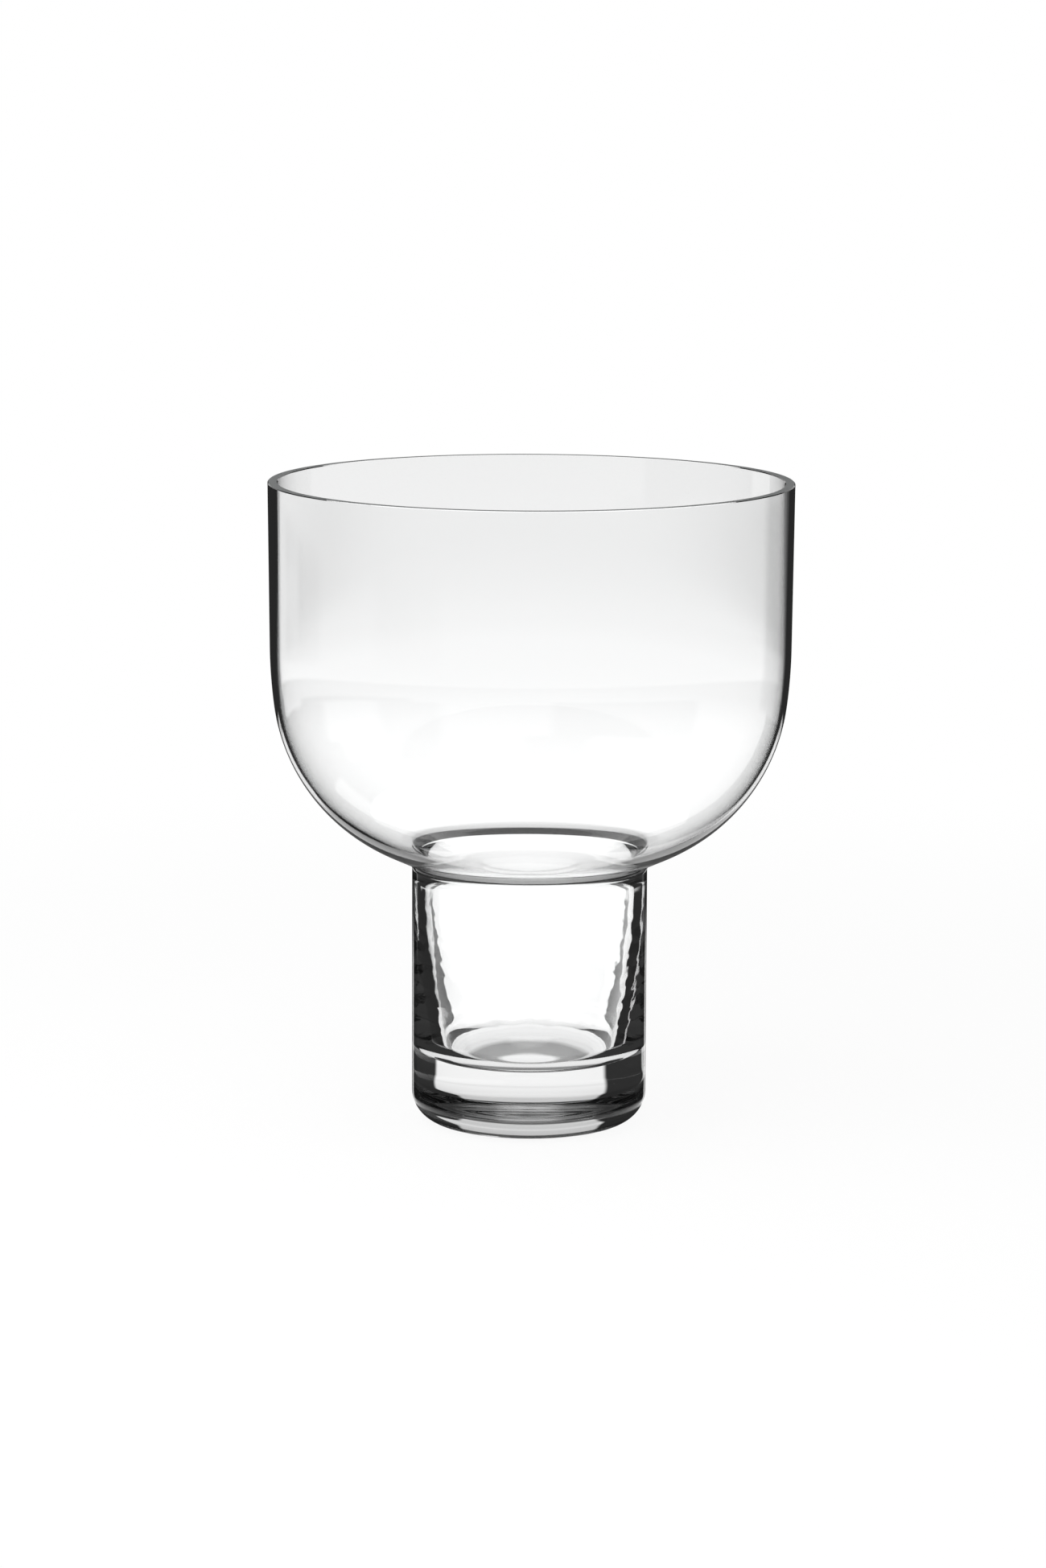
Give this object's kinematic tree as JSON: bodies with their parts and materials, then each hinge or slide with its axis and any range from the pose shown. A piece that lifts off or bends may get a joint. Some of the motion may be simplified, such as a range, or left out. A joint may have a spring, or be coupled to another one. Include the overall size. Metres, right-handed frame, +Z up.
{
  "type": "footed vase",
  "caption": "Clear glass vase with a wide, round-bottomed bowl that opens into a thick-walled cylindrical foot with a solid base.",
  "frame": {"origin": "centre of the foot's flat underside, where the vase stands", "axes": "+Z up along the turning axis, from the foot to the mouth; the vase is round, so +X and +Y are free"},
  "size_m": [0.23, 0.23, 0.2847],
  "materials": {
    "bowl_glass": "clear, fire polished, rim ground flat and polished",
    "seam_glass": "clear fused seam",
    "foot_glass": "clear, thick walled, fire polished"
  },
  "bodies": {
    "root": {"bowl": "bowl_glass", "seam_ring": "seam_glass", "foot": "foot_glass"}
  },
  "joints": []
}
